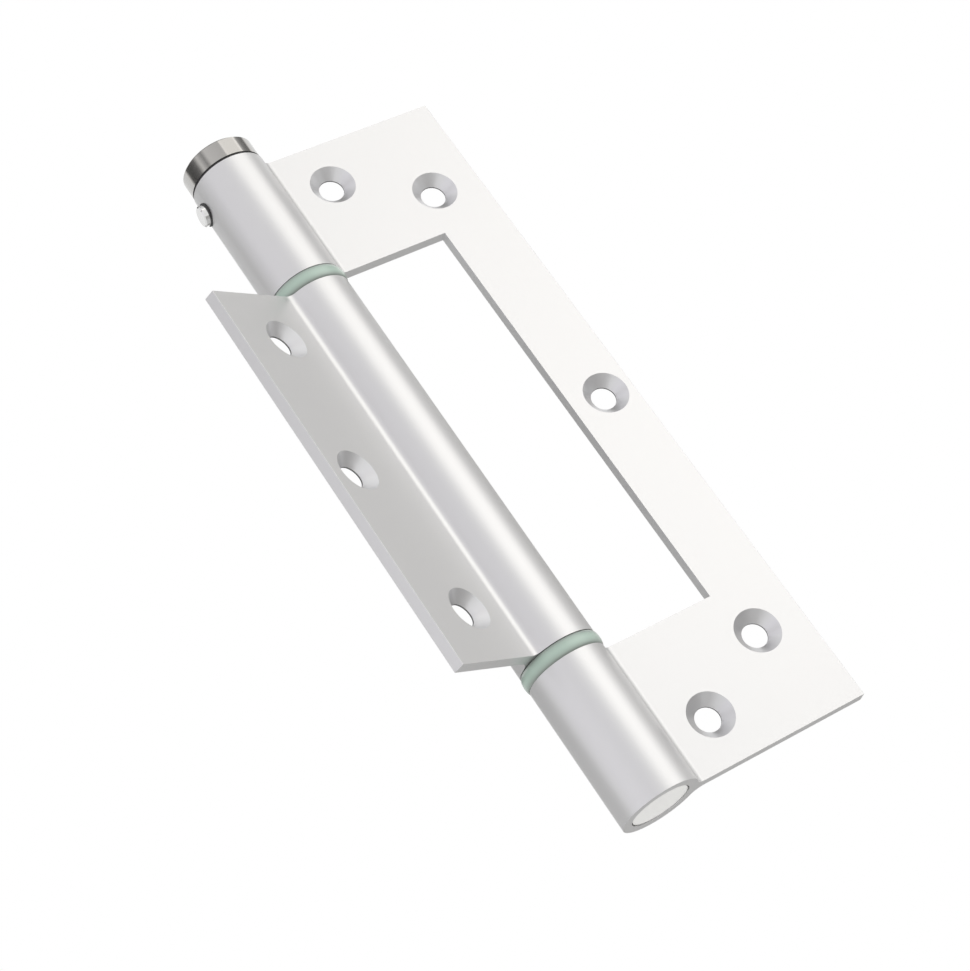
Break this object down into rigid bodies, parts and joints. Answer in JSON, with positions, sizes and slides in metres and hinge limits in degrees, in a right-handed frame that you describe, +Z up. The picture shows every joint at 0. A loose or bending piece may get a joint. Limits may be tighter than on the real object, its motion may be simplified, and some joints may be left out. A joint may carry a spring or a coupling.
{
  "type": "single action spring hinge",
  "caption": "Satin aluminium spring hinge whose short leaf nests in the tall leaf's window, with a torsion spring in the barrel and a steel tension cap.",
  "frame": {"origin": "on the frame leaf's mounting face, midway between its two inner screw holes", "axes": "+Z up the pin towards the tension cap, +X from the pin to the frame leaf's outer edge, +Y into the jamb"},
  "size_m": [0.0841, 0.0307, 0.1857],
  "materials": {
    "satin_aluminium": "satin anodised, silver",
    "polished_steel": "polished stainless steel",
    "plain_steel": "turned steel",
    "spring_steel": "oiled spring wire",
    "green_plastic": "moulded, pale green",
    "white_plastic": "moulded, natural white",
    "black_plastic": "moulded, black"
  },
  "bodies": {
    "frame": {"frame_leaf": "satin_aluminium", "cap_washer": "black_plastic", "pin_sleeve": "black_plastic", "guide_bush": "white_plastic", "collar_bush": "white_plastic", "upper_bearing_ring": "green_plastic", "lower_bearing_ring": "green_plastic", "lower_pivot": "plain_steel", "pivot_dowel": "plain_steel", "thrust_disc": "plain_steel", "end_plug": "white_plastic"},
    "door": {"door_leaf": "satin_aluminium", "upper_pivot_bush": "white_plastic", "lower_pivot_bush": "white_plastic", "spring_anchor": "plain_steel", "anchor_dowel": "plain_steel", "torsion_spring": "spring_steel"},
    "tensioner": {"tension_spindle": "polished_steel", "core_rod": "plain_steel", "rod_clip": "spring_steel"},
    "lock_pin": {"lock_pin": "polished_steel"}
  },
  "joints": [
    {"name": "leaf_swing", "type": "hinge", "parent": "frame", "child": "door", "pos_m": [-0.0211, -0.0014, 0], "axis": [0, 0, 1], "range_deg": [-34.4, 145.6], "stiffness_Nm_per_rad": 0.5, "deforming": ["torsion_spring"]},
    {"name": "tension_turn", "type": "hinge", "parent": "frame", "child": "tensioner", "pos_m": [-0.0211, -0.0014, 0], "axis": [0, 0, 1], "range_deg": [0, 90], "stiffness_Nm_per_rad": 0.5, "deforming": ["torsion_spring"]},
    {"name": "lock_pin_pull", "type": "slide", "parent": "frame", "child": "lock_pin", "axis": [-0.9962, 0.0872, 0], "range_m": [0, 0.0045]}
  ]
}
